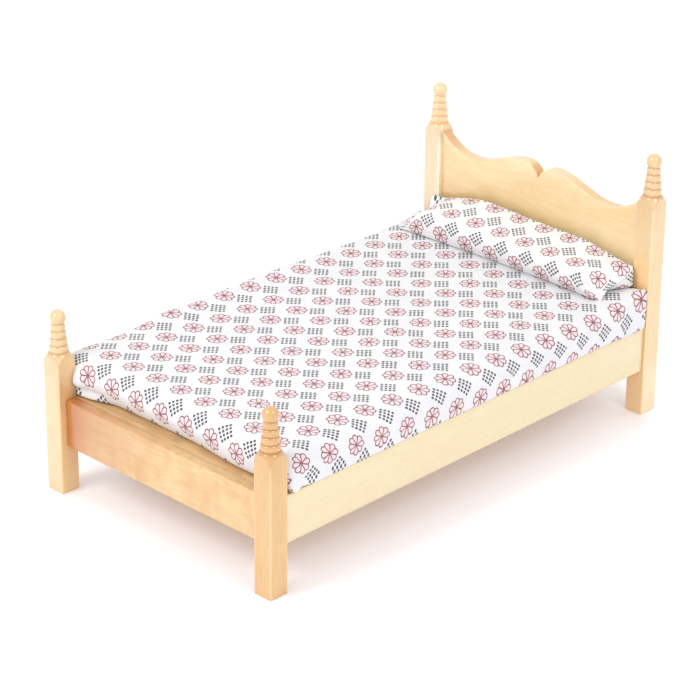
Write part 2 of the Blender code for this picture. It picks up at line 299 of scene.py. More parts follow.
def wood_material(
    name, grain, light, dark, seed, lines=0.35, line_width=1.1, flecks=0.3, cloud=0.35,
    curl=0.0, gloss=1.0, roughness=0.26, fade=None, paleness=0.5,
):
    """Wood with its grain along one axis.

    It reads two vertex attributes: tone, where 1 is darker and more orange and -1 paler, the paler
    side being painted highlights and painted light, and warm, the share of the warm colour, partly
    painted
    bounce light. fade is (top, bottom, left share, right share): from top down to bottom, in
    millimetres, the wood turns deeper, or paler as painted light where a share is below 0; above
    that the board carries a painted highlight along its top.
    """
    n = Nodes(name)
    place_node = n.add("ShaderNodeTexCoord", (), "Object")
    mm = n.vector("MULTIPLY", place_node, (1 / MM, 1 / MM, 1 / MM))
    mm = n.vector("ADD", mm, tuple(seed * shift for shift in SEED_SHIFT))

    def grained(along, across, *settings):
        scale = [across] * 3
        scale["XYZ".index(grain)] = along
        return n.noise(n.vector("MULTIPLY", mm, tuple(scale)), 1.0, *settings)

    # growth rings: wavy lines along the grain, which the noise bends
    turns = 2 * math.pi * RINGS_IN_NOISE / line_width
    rings = n.math("SINE", n.math("MULTIPLY", grained(*RING_NOISE), turns))
    rings = n.math("MULTIPLY_ADD", rings, 0.5, 0.5)
    rings = n.math("POWER", rings, RING_POWER)
    fibre = grained(*FIBRE_NOISE)
    fine = grained(*FINE_NOISE)
    fleck = n.step(grained(*FLECK_NOISE), 0.63, 0.74)
    blotch = grained(*BLOTCH_NOISE)
    wave = grained(*WAVE_NOISE)

    middle = tuple((a + b) / 2 for a, b in zip(light, dark))
    deep = tuple(value * share for value, share in zip(dark, DEEP_SHARES))
    pale = tuple((1 - paleness) * a + paleness * b for a, b in zip(light, PALE))
    colour = n.mix(n.range(blotch, 0.3, 0.7, 0.0, cloud), light, middle)
    colour = n.mix(n.math("MULTIPLY", rings, lines), colour, dark)
    colour = n.mix(n.range(fibre, 0.35, 0.75, 0.0, lines * 0.7), colour, dark)
    colour = n.mix(n.range(wave, 0.45, 0.75, 0.0, curl), colour, dark)
    colour = n.mix(n.math("MULTIPLY", fleck, flecks), colour, deep)
    if fade:
        top, bottom, left_share, right_share = fade
        across, _, height = n.parts(place_node)
        across_share = n.range(across, FADE_LEFT, FADE_RIGHT, left_share, right_share)
        share = n.math("MULTIPLY", n.step(height, top * MM, bottom * MM), across_share)
        # deeper where the fade's share is above 0; painted light where it is below 0, and a
        # painted highlight along the top
        colour = n.mix(n.math("MAXIMUM", share, 0.0), colour, deep)
        rim = n.math("MULTIPLY", n.step(height, TOP_HIGHLIGHT_START, TOP_HIGHLIGHT_END), TOP_HIGHLIGHT_SHARE)
        colour = n.mix(n.math("MAXIMUM", n.math("MULTIPLY", share, -1.0), rim), colour, pale)
    # tone above 0 deepens the wood; below 0 it paints highlights and light, and warm is partly
    # painted bounce light
    tone = n.attribute("tone")
    colour = n.mix(n.math("MAXIMUM", tone, 0.0), colour, deep)
    colour = n.mix(n.math("MAXIMUM", n.math("MULTIPLY", tone, -1.0), 0.0), colour, pale)
    colour = n.mix(n.attribute("warm"), colour, WARM)

    height = n.math("MULTIPLY_ADD", fibre, 0.6, n.math("MULTIPLY", fine, 0.4))
    height = n.math("SUBTRACT", height, n.math("MULTIPLY", fleck, 0.5))
    orange_peel = n.noise(mm, 0.9, 2.0, 0.5)
    coat_height = n.math("MULTIPLY_ADD", orange_peel, 0.8, n.math("MULTIPLY", height, 0.25))
    gloss_roughness = n.range(blotch, 0.3, 0.7, roughness - 0.05, roughness + 0.07)
    inputs = {
        "Base_Color": colour,
        "Roughness": gloss_roughness,
        "Normal": n.bump(height, GRAIN_RELIEF, 0.5),
        "Coat_Weight": gloss,
    }
    if gloss:
        inputs["Coat_Roughness"] = COAT_ROUGHNESS
        inputs["Coat_IOR"] = COAT_IOR
        inputs["Coat_Normal"] = n.bump(coat_height, COAT_RELIEF, 0.35)
    return n.finish(**inputs)


# ---------------------------------------------------------------- turned posts

# a square stick with a shoulder, four beads and a ball
POST_CORNER = 0.42
BEADS = 4
BEAD_PITCH = 2.4
BEAD_TOP_RADIUS = 2.35
BEAD_BASE_RADIUS = 3.1
BEAD_GROOVE = 0.36
BALL_RADIUS = 2.6
BALL_CENTRE = 11.4
SHOULDER_DROP = 3.4
SHOULDER_RADIUS = 5.1
# a lathe radius that leaves the square untouched
CLEAR_OF_SQUARE = SHOULDER_RADIUS + 1
CUT_EASE = 0.16
FOOT_EASE = 0.22
FOOT_EASE_HEIGHT = 0.3
POST_WOBBLE = 0.03
# shares of a ball, a bead or the shoulder over which its groove is shaded
BALL_GROOVE, BEAD_GROOVE_SHADE, SHOULDER_GROOVE = 0.10, 0.19, 0.45


def square_outline(half):
    """Angles and radii round a square with eased corners."""
    inner = half - POST_CORNER
    points = []
    for turn in range(4):
        quarter = []
        for y in np.linspace(-inner, inner, 19)[1:-1]:
            quarter.append((half, y))
        for angle in np.linspace(0, math.pi / 2, 7):
            across, up = POST_CORNER * math.cos(angle), POST_CORNER * math.sin(angle)
            quarter.append((inner + across, inner + up))
        c, s = round(math.cos(turn * math.pi / 2)), round(math.sin(turn * math.pi / 2))
        points += [(c * x - s * y, s * x + c * y) for x, y in quarter]
    points = np.array(points)
    return np.arctan2(points[:, 1], points[:, 0]), np.hypot(points[:, 0], points[:, 1])


def lathe_rings(base):
    """(height, lathe radius, share of groove shade) from the ball's top down to the shoulder."""
    rings = []
    neck = math.asin((BEADS * BEAD_PITCH - BALL_CENTRE) / BALL_RADIUS)
    for share in np.linspace(0, 1, 23)[1:]:
        angle = math.pi / 2 + (neck - math.pi / 2) * share
        height = base + BALL_CENTRE + BALL_RADIUS * math.sin(angle)
        groove = max(0.0, 1 - (1 - share) / BALL_GROOVE)
        rings.append((height, BALL_RADIUS * math.cos(angle), groove))
    for bead in range(BEADS):
        widest = BEAD_TOP_RADIUS + (BEAD_BASE_RADIUS - BEAD_TOP_RADIUS) * bead / (BEADS - 1)
        for share in np.linspace(0, 1, 13)[1:]:
            bulge = math.sin(math.pi * share) ** 0.8 if share < 1 else 0.0
            height = base + (BEADS - bead - share) * BEAD_PITCH
            groove = max(0.0, 1 - min(share, 1 - share) / BEAD_GROOVE_SHADE)
            rings.append((height, widest - BEAD_GROOVE * (1 - bulge), groove))
    for share in np.linspace(0, 1, 31)[1:]:
        neck_radius = BEAD_BASE_RADIUS - BEAD_GROOVE * (1 - min(1.0, share / 0.08))
        radius = neck_radius + (SHOULDER_RADIUS - BEAD_BASE_RADIUS) * share
        groove = max(0.0, 1.0 - share / SHOULDER_GROOVE)
        rings.append((base - SHOULDER_DROP * share**1.25, radius, groove))
    return rings


def build_post(node, base, seed, shade=None, warmth=None):
    """A post whose turning starts at base, in millimetres above the ground.

    shade(x, y, z) adds to its tone, painted shade where it is above 0 and painted light where
    below, and warmth(x, y, z) gives its share of the warm colour, partly painted bounce light,
    with x and y measured from its middle.
    """
    low, high = box_mm(node)
    centre = (low + high) / 2
    half = (high[0] - low[0]) / 2
    angles, square = square_outline(half)
    rings = [(high[2] - 0.0001, 0.02, 0.0)] + lathe_rings(base)
    foot = base - SHOULDER_DROP
    for z in [*np.arange(foot - 1.2, 1.2, -3.0), 0.7, 0.3, 0.08, 0.0]:
        rings.append((z, CLEAR_OF_SQUARE, 0.0))
    points, tone, warm = [], [], []
    for z, lathe, groove in rings:
        ease = FOOT_EASE * max(0.0, 1 - z / FOOT_EASE_HEIGHT) ** 2
        wobble = POST_WOBBLE * noise.noise(Vector((seed, z / 17.0, 4.0)))
        blend = np.clip(0.5 + 0.5 * (lathe - square) / CUT_EASE, 0, 1)
        radius = lathe * (1 - blend) + square * blend - CUT_EASE * blend * (1 - blend)
        radius = np.minimum(radius - ease + wobble, square - ease)
        x, y = radius * np.cos(angles), radius * np.sin(angles)
        points += zip(centre[0] + x, centre[1] + y, [z] * len(angles))
        # darker in the grooves, below the turning, at the cut and the foot; a painted highlight on
        # the arrises
        cut = np.exp(-(((lathe - square) / 0.35) ** 2)) * (z < base - 0.3)
        arris_highlight = smooth_step(square, half * 1.30, half * 1.36) * (z < foot)
        ring_tone = 0.5 * groove + 0.14 * smooth_step(z, base - 14, base - 3)
        ring_tone = ring_tone + 0.10 * cut + 0.18 * math.exp(-z / 0.8) - 0.4 * arris_highlight
        if shade is not None:
            ring_tone = ring_tone + shade(x, y, z)
        tone.append(np.clip(ring_tone, -1, 1))
        if warmth is not None:
            warm.append(warmth(x, y, z) * np.ones(len(angles)))
    around = len(angles)
    faces = []
    for ring in range(len(rings) - 1):
        a, b = ring * around, (ring + 1) * around
        for i in range(around):
            j = (i + 1) % around
            faces.append([a + i, b + i, b + j, a + j])
    top, bottom = len(points), len(points) + 1
    points += [(centre[0], centre[1], high[2]), (centre[0], centre[1], 0.0)]
    end = (len(rings) - 1) * around
    for i in range(around):
        j = (i + 1) % around
        faces.append([top, i, j])
        faces.append([bottom, end + j, end + i])
    obj = mesh_object(f"wood_{node}", points, faces)
    paint(obj, "tone", np.concatenate([np.array(tone).ravel(), [0.0, 0.2]]))
    if warmth is not None:
        paint(obj, "warm", np.concatenate([np.array(warm).ravel(), [0.0, 0.0]]))
    return obj


# ---------------------------------------------------------------- boards and headboard

# how wide, how worn and how much darker a board's edges are
EDGE_WIDTH, EDGE_WEAR, EDGE_TONE = 0.45, 0.05, 0.10


def build_board(name, low, high, rounding, step, seed, wobble=0.03, tone=None):
    """A sawn and sanded board with eased, slightly uneven edges. tone(points) adds to its tone."""
    points, faces, _, _ = rounded_box(low, high, rounding, step)
    centre = (np.asarray(low) + high) / 2
    away = points - centre
    away /= np.maximum(np.abs(away).max(axis=1, keepdims=True), 1e-9)
    inside = np.minimum(points - low, high - points)
    nearest = np.sort(inside, axis=1)
    edge = np.exp(-nearest[:, 1] / EDGE_WIDTH)
    face = np.argmin(inside, axis=1)
    wear = edge * EDGE_WEAR * (1 + rough(points, 2.3, seed + 5))
    push = rough(points, 9.0, seed) * wobble - wear
    for axis in range(3):
        moved = face == axis
        points[moved, axis] += np.sign(away[moved, axis]) * push[moved]
    obj = mesh_object(name, points, faces)
    shade = EDGE_TONE * edge
    if tone is not None:
        shade = shade + tone(points)
    paint(obj, "tone", np.clip(shade, -1, 1))
    return obj


# the headboard's right half: X and height of its hump and its low point, height of its notch
HUMP = (6.3, 74.85)
SADDLE = (29.5, 69.15)
NOTCH = 70.5
HEADBOARD_EASE = 0.34
# how far its ends reach past the posts' faces
HEADBOARD_REACH = 0.4


def cubic(a, b, c, d, count):
    """Points on a Bezier curve from a to d."""
    t = np.linspace(0, 1, count)[:, None]
    a, b, c, d = (np.array(p, float) for p in (a, b, c, d))
    return a * (1 - t) ** 3 + 3 * b * t * (1 - t) ** 2 + 3 * c * t * t * (1 - t) + d * t**3


def headboard_outline(half_width, shoulder, bottom):
    """The panel's outline in X and Z, anticlockwise from its bottom left corner."""
    end = (half_width, shoulder)
    before_end = (half_width - 4.0, shoulder - 3.7)
    right = np.concatenate([
        cubic((0, NOTCH), (1.0, NOTCH + 2.1), (HUMP[0] - 3.4, HUMP[1]), HUMP, 16),
        cubic(HUMP, (HUMP[0] + 8.2, HUMP[1]), (SADDLE[0] - 8.0, SADDLE[1]), SADDLE, 30)[1:],
        cubic(SADDLE, (SADDLE[0] + 6.0, SADDLE[1]), before_end, end, 20)[1:],
    ])
    left = right[:0:-1] * (-1, 1)
    top = np.concatenate([left, right])[::-1]
    return np.concatenate([[(-half_width, bottom), (half_width, bottom)], top])


def build_headboard():
    """The shaped panel, with eased edges along its top."""
    low, high = box_mm("headboard")
    post_low, _ = box_mm("head_post_right")
    outline = headboard_outline(post_low[0] + HEADBOARD_REACH, high[2], low[2])
    mesh = bmesh.new()
    front = [mesh.verts.new((x, low[1], z)) for x, z in outline]
    back = [mesh.verts.new((x, high[1], z)) for x, z in outline]
    mesh.faces.new(front)
    mesh.faces.new(back[::-1])
    for i in range(len(front)):
        j = (i + 1) % len(front)
        mesh.faces.new((front[j], front[i], back[i], back[j]))
    mesh.normal_update()
    rims = []
    for edge in mesh.edges:
        first, second = (vertex.co for vertex in edge.verts)
        if abs(first.y - second.y) < 0.01 and min(first.z, second.z) > NOTCH - 8:
            rims.append(edge)
    bmesh.ops.bevel(
        mesh, geom=rims, offset=HEADBOARD_EASE, segments=4, profile=0.5, affect="EDGES",
        clamp_overlap=False,
    )
    bmesh.ops.recalc_face_normals(mesh, faces=mesh.faces[:])
    data = bpy.data.meshes.new("wood_headboard")
    mesh.to_mesh(data)
    mesh.free()
    data.transform(Matrix.Scale(MM, 4))
    data.shade_smooth()
    data.set_sharp_from_angle(angle=math.radians(35))
    obj = bpy.data.objects.new("wood_headboard", data)
    bpy.context.scene.collection.objects.link(obj)
    weighted = obj.modifiers.new("flat faces", "WEIGHTED_NORMAL")
    weighted.keep_sharp = True
    depth = np.array([vertex.co.y / MM for vertex in data.vertices])
    rim = (depth > low[1] + 0.05) & (depth < high[1] - 0.05)
    # its edge is a deeper orange, and painted shade deepens it more where it slopes down to the
    # right
    crest = outline[2:][::-1]
    slope = np.gradient(crest[:, 1], crest[:, 0] + 1e-6 * np.arange(len(crest)))
    shaded_slope = np.interp([vertex.co.x / MM for vertex in data.vertices], crest[:, 0], -slope)
    paint(obj, "tone", rim * (0.26 + 0.5 * smooth_step(shaded_slope, 0.15, 0.9)))
    return obj


# ---------------------------------------------------------------- bedding shapes

MATTRESS_ROUND = 5.6
MATTRESS_TOP = 44.5
MATTRESS_HALF_WIDTH = 51.0
MATTRESS_FOOT = -83.4
MATTRESS_HEAD = 82.6
# how far towards the foot the posts let the mattress's corners reach
POST_STOP = 82.65


def mattress_top(x, y):
    """Height of the mattress's top, in millimetres above the ground."""
    # higher at both ends, lower towards the right side and its foot corner
    rise = 1.2 * bell(y, -78, 25) + 0.8 * bell(y, 78, 16) - 0.55 * smooth_step(x, 12, 46)
    rise = rise - 0.8 * smooth_step(x, 20, 44) * smooth_step(-y, 50, 74)
    rise = rise + 0.9 * bell(x, 47, 7) * bell(y, 80, 10)
    # its left edge swells and dips along its length
    left = bell(x, -49, 9)
    swell = 1.2 * bell(y, -41, 7) + 1.9 * bell(y, -8, 38) - 0.8 * bell(y, -66, 14)
    return MATTRESS_TOP + rise + left * swell


def mattress_sharpness(x, y, z):
    """The bottom, the head end and its right corner have tight edges."""
    bottom = float(smooth_step(z, 37.5, 34.5))
    head = float(smooth_step(y, 74, 79))
    right_corner = float(smooth_step(x, 42, 47) * smooth_step(y, 58, 74))
    return 2.0 + 3.5 * bottom + 2.5 * head + 2.2 * right_corner


def build_mattress():
    """The mattress as rounded_box gives it, with its points moved, and the box's corners."""
    cover_low, _ = box_mm("mattress_cover")
    low = np.array([-MATTRESS_HALF_WIDTH, MATTRESS_FOOT, cover_low[2] - 0.2])
    high = np.array([MATTRESS_HALF_WIDTH, MATTRESS_HEAD, MATTRESS_TOP])
    points, faces, sides, along = rounded_box(low, high, MATTRESS_ROUND, 1.3, mattress_sharpness)
    x, y, z = points.T
    share = np.clip((z - low[2]) / (high[2] - low[2]), 0, 1)
    z = z + (mattress_top(x, y) - MATTRESS_TOP) * smooth_step(share, 0.0, 1.0)
    z = z + 0.22 * rough(points, 17.0, 1) * smooth_step(share, 0.5, 1.0)
    down = 1 - smooth_step(share, 0.0, 0.62)
    # the sides stand in a little at their lower edge, which hangs past the rails
    side = smooth_step(np.abs(x), 42, 51)
    x = x - np.sign(x) * side * down * 0.5
    x = x + np.sign(x) * side * 0.3 * rough(points, 14.0, 3) * smooth_step(share, 0.05, 0.3)
    hem = smooth_step(np.abs(x), 49.4, 50.1) * (1 - smooth_step(share, 0.0, 0.4))
    z = z - hem * (0.9 - 1.3 * bell(y, -76.5, 2.2) * (x > 0))
    foot_corner = smooth_step(-y, 78.5, 82) * smooth_step(np.abs(x), 46, 49)
    x = x + np.sign(x) * 0.9 * foot_corner * (1 - smooth_step(share, 0.1, 0.4))
    # the foot end is tucked in at its lower edge, most in its middle
    foot = smooth_step(-y, 70, 83)
    right = smooth_step(x, 5, 28)
    left = smooth_step(-x, 24, 39)
    y = y + foot * down * (3.3 - 1.8 * right - 1.5 * left)
    # a lip of folded cloth at its left corner, which bulges out beside the post
    lip = smooth_step(-x, 28, 38)
    y = y - foot * lip * (1.7 * bell(share, 0.04, 0.10) - 1.2 * bell(share, 0.24, 0.07))
    y = y - foot * 2.3 * bell(x, -43.0, 5.0) * bell(share, 0.36, 0.3)
    # its far right corner is drawn out to a small ear
    ear = bell(x, 50.6, 2.2) * bell(y, 82.0, 3.2) * smooth_step(share, 0.6, 1.0)
    x = x + 0.5 * ear
    z = z + 1.9 * ear
    # the posts hold its corners in
    corner = smooth_step(np.abs(x), 43.0, 43.7)
    y = np.where(y < -POST_STOP, y * (1 - corner) - POST_STOP * corner, y)
    return np.stack([x, y, z], axis=1), faces, sides, along, low, high


def sheet_place(side, spot, low, high, radius):
    """Where a point of the box's surface lies on the cloth when that is laid flat.

    The cloth covers the top, folds down the four sides and then under the bottom.
    """
    (axis, end), (sx, sy, sz) = side, spot
    bend = radius - radius * math.pi / 4
    start, reach = low + bend, high - bend
    drop = reach[2] - sz
    if axis == 2 and end == 1:
        return sx, sy
    if axis == 0:
        return (reach[0] + drop if end else start[0] - drop), sy
    if axis == 1:
        return sx, (reach[1] + drop if end else start[1] - drop)
    full = reach[2] - start[2]
    gaps = [sx - start[0], reach[0] - sx, sy - start[1], reach[1] - sy]
    nearest = int(np.argmin(gaps))
    if nearest == 0:
        return start[0] - full - gaps[0], sy
    if nearest == 1:
        return reach[0] + full + gaps[1], sy
    if nearest == 2:
        return sx, start[1] - full - gaps[2]
    return sx, reach[1] + full + gaps[3]


PILLOW_FRONT = 63.4
PILLOW_BACK = 82.15
PILLOW_HALF_WIDTH = 44.8
PILLOW_ROUND = 3.4
PILLOW_THICKNESS = 9.4
# height of its top at its front, above the ground
PILLOW_FRONT_TOP = 54.1
# gap that it keeps from the mattress
PILLOW_GAP = 0.12
# the flap of the folded right end: its front corner, its corner at the back, its pinched tip
FLAP = ((34.5, 66.5, 53.5), (44.7, 79.0, 51.5), (43.75, 65.9, 45.2))
FLAP_EASE = 0.3


def pillow_back_height(x):
    """Height of the pillow's top at the headboard, in millimetres above the ground."""
    return (57.2 - 4.7 * smooth_step(x, -18, -46) + 0.6 * bell(x, -45, 5.0)
            - 0.7 * smooth_step(x, -14, 5) - 3.5 * smooth_step(x, 20, 46))


def pillow_sharpness(x, y, z):
    """The back and the bottom have tight edges."""
    return 2.3 + 5.0 * float(smooth_step(y, 76, 80)) + 2.5 * float(smooth_step(z, 3.0, 1.0))


def fold_flap(points):
    """Presses the right end flat into a flap, with a valley before it and a tuck below it."""
    top, back, tip = (np.array(corner) for corner in FLAP)
    normal = np.cross(back - top, tip - top)
    normal *= np.sign(normal[2]) / np.linalg.norm(normal)
    above = (points - top) @ normal
    near = smooth_step(points[:, 0], 25, 31)
    folded = points - normal * (near * FLAP_EASE * np.logaddexp(0, above / FLAP_EASE))[:, None]
    edge = tip - top
    share = np.clip((folded - top) @ edge / (edge @ edge), 0, 1)
    gap = np.linalg.norm(folded - top - share[:, None] * edge, axis=1)
    valley = bell(gap, 0, 1.4) * near
    folded += valley[:, None] * np.array((-0.7, 1.6, -0.6))
    right_end = smooth_step(points[:, 0], 42, 44.4) * smooth_step(points[:, 1], 80.5, 78)
    folded[:, 0] -= 1.0 * bell(above, -1.2, 0.6) * right_end
    below = smooth_step(folded[:, 2], 50.0, 45.2) * smooth_step(folded[:, 0], 34, 44)
    folded[:, 0] -= 3.6 * below * bell(folded[:, 1], 73, 4.5)
    return folded


def build_pillow():
    """The pillow as rounded_box gives it, with its points moved, and the box's corners."""
    low = np.array([-PILLOW_HALF_WIDTH, PILLOW_FRONT, 0.0])
    high = np.array([PILLOW_HALF_WIDTH, PILLOW_BACK, PILLOW_THICKNESS])
    points, faces, sides, along = rounded_box(low, high, PILLOW_ROUND, 0.9, pillow_sharpness)
    x, y, z = points.T
    share = z / high[2]
    depth = np.clip((y - low[1]) / (high[1] - low[1]), 0, 1)
    floor = mattress_top(x, y) + PILLOW_GAP
    back = pillow_back_height(x)
    # the left end lies nearly flat in front, and stands up only at the headboard
    left = smooth_step(x, -33, -44.5)
    front = PILLOW_FRONT_TOP * (1 - left) + (floor + 0.7) * left
    rise = smooth_step(depth, 0.1, 0.95) * (1 - left) + depth**22 * left
    top = front + (back - front) * rise
    z = floor + (top - floor) * share
    z = z + 0.18 * rough(points, 8.0, 9) * smooth_step(share, 0.4, 1.0)
    # its front is tucked in where it meets the mattress, and its left back corner is pushed out
    contact = 0.2 + 1.5 * smooth_step(x, -38, 0) + 0.4 * smooth_step(x, 10, 30)
    left_back = smooth_step(-x, 40.5, 44.5) * smooth_step(depth, 0.8, 0.97)
    x = x - 1.2 * left_back * smooth_step(share, 0.2, 0.6)
    y = y + contact * (1 - depth) * (1 - smooth_step(share, 0.0, 0.45))
    return fold_flap(np.stack([x, y, z], axis=1)), faces, sides, along, low, high


def add_cloth_map(obj, sides, along, low, high, radius, lattice):
    """Stores where each corner lies in the print, in repeats of the pattern."""
    origin, row, column = (np.array(v, float) for v in lattice)
    to_print = np.linalg.inv(np.stack([row, column], axis=1))
    layer = obj.data.uv_layers.new(name="print")
    flat = np.array([
        sheet_place(side, spot, low, high, radius)
        for side, corners in zip(sides, along)
        for spot in corners
    ])
    x, y = flat.T.copy()
    # the cloth is pulled a little at the mattress's foot corners and along the right side
    pulls = (
        (smooth_step(x, 25, 45) * smooth_step(-y, 55, 80), (0.2, 1.2)),
        (smooth_step(x, 38, 48) * (1 - smooth_step(-y, 45, 75)), (-1.0, 1.1)),
        (smooth_step(-x, 33, 41) * smooth_step(-y, 79, 86), (0.0, -1.3)),
    )
    for amount, shift in pulls:
        flat += amount[:, None] * np.array(shift)
    repeats = (flat - origin) @ to_print.T
    layer.data.foreach_set("uv", repeats.astype(np.float32).ravel())


# ---------------------------------------------------------------- printed cotton

# size of a repeat, and of what is printed in it, in millimetres
PITCH = 11.1
PETALS = 8
PETAL_CENTRE = 2.34
PETAL_RADIUS = PETAL_CENTRE * math.sin(math.pi / PETALS)
INK_WIDTH = 0.19
DOT_PITCH = 1.25
DOT_RADIUS = 0.46
DOTS_EACH_WAY = 4
# how far the blocks of dots are printed off the middle between the flowers, in repeats
DOT_SHIFT = (0.05, 0.125)
# how far a printed edge fades over on each side of its line
FLOWER_SOFTNESS, DOT_SOFTNESS = 0.07, 0.08
# how far the printed lines wander, in repeats
SHAKE = 0.014
THREAD_PITCH = 0.42
WEAVE_RELIEF = 0.03 * MM
CREASE_RELIEF = 0.9 * MM
# added to a distance that is to lose against any real one
FAR = 9.0

GROUND_LIGHT = linear(226, 226, 227)
GROUND_DARK = linear(221, 221, 224)
GROUND_SHADE = linear(200, 203, 211)
PILLOW_GROUND_LIGHT = linear(235, 235, 234)
PILLOW_GROUND_DARK = linear(230, 230, 231)
PETAL_FILL = linear(232, 196, 200)
FLOWER_INK = linear(124, 28, 44)
DOT_INK = linear(22, 24, 34)


def cotton_material(name, light, dark):
    """Woven cotton with rows of flowers and blocks of dots, on the map named print."""
    n = Nodes(name)
    cloth = n.add("ShaderNodeUVMap", (), "UV", uv_map="print")
    mm = n.vector("MULTIPLY", cloth, (PITCH, PITCH, 0.0))
    wander = n.noise(mm, 0.9, 2.0, 0.5)
    wander_two = n.noise(n.vector("ADD", mm, (37.0, 11.0, 5.0)), 0.9, 2.0, 0.5)
    shakes = [n.range(value, 0.0, 1.0, -SHAKE, SHAKE) for value in (wander, wander_two)]
    cell = n.vector("ADD", cloth, n.add("ShaderNodeCombineXYZ", (*shakes, 0.0)))

    def offset(right, up):
        """Millimetres from the nearest middle of a repeat, after a shift of the print."""
        moved = n.vector("ADD", cell, (right, up, 0.0))
        whole = n.vector("FLOOR", moved)
        part = n.vector("SUBTRACT", n.vector("SUBTRACT", moved, whole), (0.5, 0.5, 0.0))
        return n.vector("MULTIPLY", part, (PITCH, PITCH, 0.0))

    # flowers: eight petals, each an arc with two lines that meet in the middle
    spot = offset(0.5, 0.5)
    x, y, _ = n.parts(spot)
    radius = n.length(spot)
    turn = n.math("ARCTAN2", y, x)
    sector = 2 * math.pi / PETALS
    petal_turn = n.math("MULTIPLY", n.math("ROUND", n.math("DIVIDE", turn, sector)), sector)
    folded = n.math("ABSOLUTE", n.math("SUBTRACT", turn, petal_turn))
    along = n.math("MULTIPLY", radius, n.math("COSINE", folded))
    across = n.math("MULTIPLY", radius, n.math("SINE", folded))
    from_centre = n.math("SUBTRACT", along, PETAL_CENTRE)
    squares = [n.math("MULTIPLY", value, value) for value in (from_centre, across)]
    ring = n.math("SQRT", n.math("ADD", *squares))
    arc = n.math("ABSOLUTE", n.math("SUBTRACT", ring, PETAL_RADIUS))
    beyond = n.math("MULTIPLY_ADD", across, math.tan(sector / 2), from_centre)
    inner = n.math("SUBTRACT", 1.0, n.math("GREATER_THAN", beyond, 0.0))
    arc = n.math("ADD", arc, n.math("MULTIPLY", inner, FAR))
    gap = n.math("SUBTRACT", sector / 2, folded)
    spoke = n.math("MULTIPLY", radius, n.math("SINE", gap))
    reach = n.math("MULTIPLY", radius, n.math("COSINE", gap))
    too_far = n.math("GREATER_THAN", reach, PETAL_CENTRE * math.cos(sector / 2))
    spoke = n.math("ADD", spoke, n.math("MULTIPLY", too_far, FAR))
    line = n.math("MINIMUM", arc, spoke)
    flower = n.step(line, INK_WIDTH + FLOWER_SOFTNESS, INK_WIDTH - FLOWER_SOFTNESS)
    heart = n.step(radius, 0.62, 0.3)
    flower = n.math("MAXIMUM", flower, n.math("MULTIPLY", heart, 0.8))
    petal = n.step(ring, PETAL_RADIUS, PETAL_RADIUS - 0.1)
    petal = n.math("MAXIMUM", petal, n.math("SUBTRACT", 1.0, too_far))

    # blocks of dots, four each way, set on their corners
    x, y, _ = n.parts(offset(*DOT_SHIFT))
    half = math.sqrt(0.5) / DOT_PITCH
    p = n.math("MULTIPLY", n.math("ADD", x, y), half)
    q = n.math("MULTIPLY", n.math("SUBTRACT", x, y), half)
    outermost = (DOTS_EACH_WAY - 1) / 2

    def to_dot(value):
        nearest = n.math("SUBTRACT", n.math("ROUND", n.math("ADD", value, 0.5)), 0.5)
        nearest = n.math("MINIMUM", n.math("MAXIMUM", nearest, -outermost), outermost)
        return n.math("MULTIPLY", n.math("SUBTRACT", value, nearest), DOT_PITCH)

    dot = n.length(n.add("ShaderNodeCombineXYZ", (to_dot(p), to_dot(q), 0.0)))
    dot = n.math("ADD", dot, n.range(wander, 0.3, 0.7, -0.05, 0.05))
    dots = n.step(dot, DOT_RADIUS + DOT_SOFTNESS, DOT_RADIUS - DOT_SOFTNESS)

    # the weave, and ink that takes unevenly
    threads = 2 * math.pi / THREAD_PITCH
    thread_x, thread_y, _ = n.parts(mm)
    warp = n.math("SINE", n.math("MULTIPLY", thread_x, threads))
    weft = n.math("SINE", n.math("MULTIPLY", thread_y, threads))
    weave = n.math("MULTIPLY", warp, weft)
    slub = n.noise(n.vector("MULTIPLY", mm, (0.35, 3.5, 1.0)), 1.0, 2.0, 0.5)
    uneven = n.range(n.noise(mm, 2.2, 2.0, 0.6), 0.3, 0.75, 1.0, 0.74)
    cloud = n.noise(mm, 0.07, 2.0, 0.5)

    ground = n.mix(n.range(cloud, 0.35, 0.65, 0.0, 1.0), light, dark)
    # painted shade: the ground darkens towards GROUND_SHADE between the weave's threads and along
    # its slubs
    ground = n.mix(n.range(weave, -1.0, 1.0, 0.10, 0.0), ground, GROUND_SHADE)
    ground = n.mix(n.range(slub, 0.55, 0.8, 0.0, 0.12), ground, GROUND_SHADE)
    colour = n.mix(n.math("MULTIPLY", petal, 0.45), ground, PETAL_FILL)
    colour = n.mix(n.math("MULTIPLY", flower, uneven), colour, FLOWER_INK)
    colour = n.mix(n.math("MULTIPLY", dots, uneven), colour, DOT_INK)
    relief = n.math("MULTIPLY_ADD", weave, 0.5, n.math("MULTIPLY", slub, 0.8))
    soft = n.noise(mm, 0.35, 3.0, 0.5)
    crease = n.bump(soft, CREASE_RELIEF, 0.28)
    normal = n.bump(relief, WEAVE_RELIEF, 0.5)
    n.put(normal.node.inputs["Normal"], crease)
    return n.finish(
        Base_Color=colour, Roughness=0.86, Normal=normal, Sheen_Weight=0.12, Sheen_Roughness=0.5
    )


# ---------------------------------------------------------------- build the pieces

